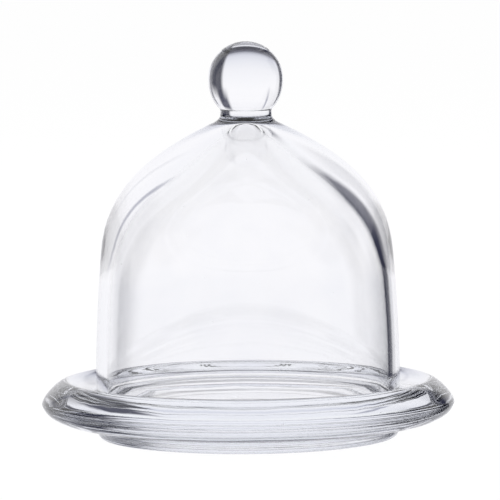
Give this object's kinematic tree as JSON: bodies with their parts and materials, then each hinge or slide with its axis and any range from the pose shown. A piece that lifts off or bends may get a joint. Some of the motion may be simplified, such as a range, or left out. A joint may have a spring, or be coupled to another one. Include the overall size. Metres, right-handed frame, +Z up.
{
  "type": "cake stand with glass cloche",
  "caption": "Round clear glass serving plate with a thick rounded rim and a low flat foot, under a lift-off clear glass bell with a ball knob.",
  "frame": {"origin": "on the surface it stands on, under the axis of the plate and the bell", "axes": "+Z up along the common axis of the plate, the bell and the knob; +X and +Y lie in the plane of the foot, and the picture looks along +Y"},
  "size_m": [0.1654, 0.1654, 0.1586],
  "materials": {
    "pressed_glass": "fire-polished, clear with a faint cool tint",
    "blown_glass": "fire-polished, clear"
  },
  "bodies": {
    "stand": {"plate": "pressed_glass"},
    "cloche": {"dome": "blown_glass", "knob_neck": "blown_glass", "knob_ball": "blown_glass"}
  },
  "joints": [
    {"name": "cloche_lift", "type": "slide", "parent": "stand", "child": "cloche", "axis": [0, 0, 1], "range_m": [0, 0.16]}
  ]
}
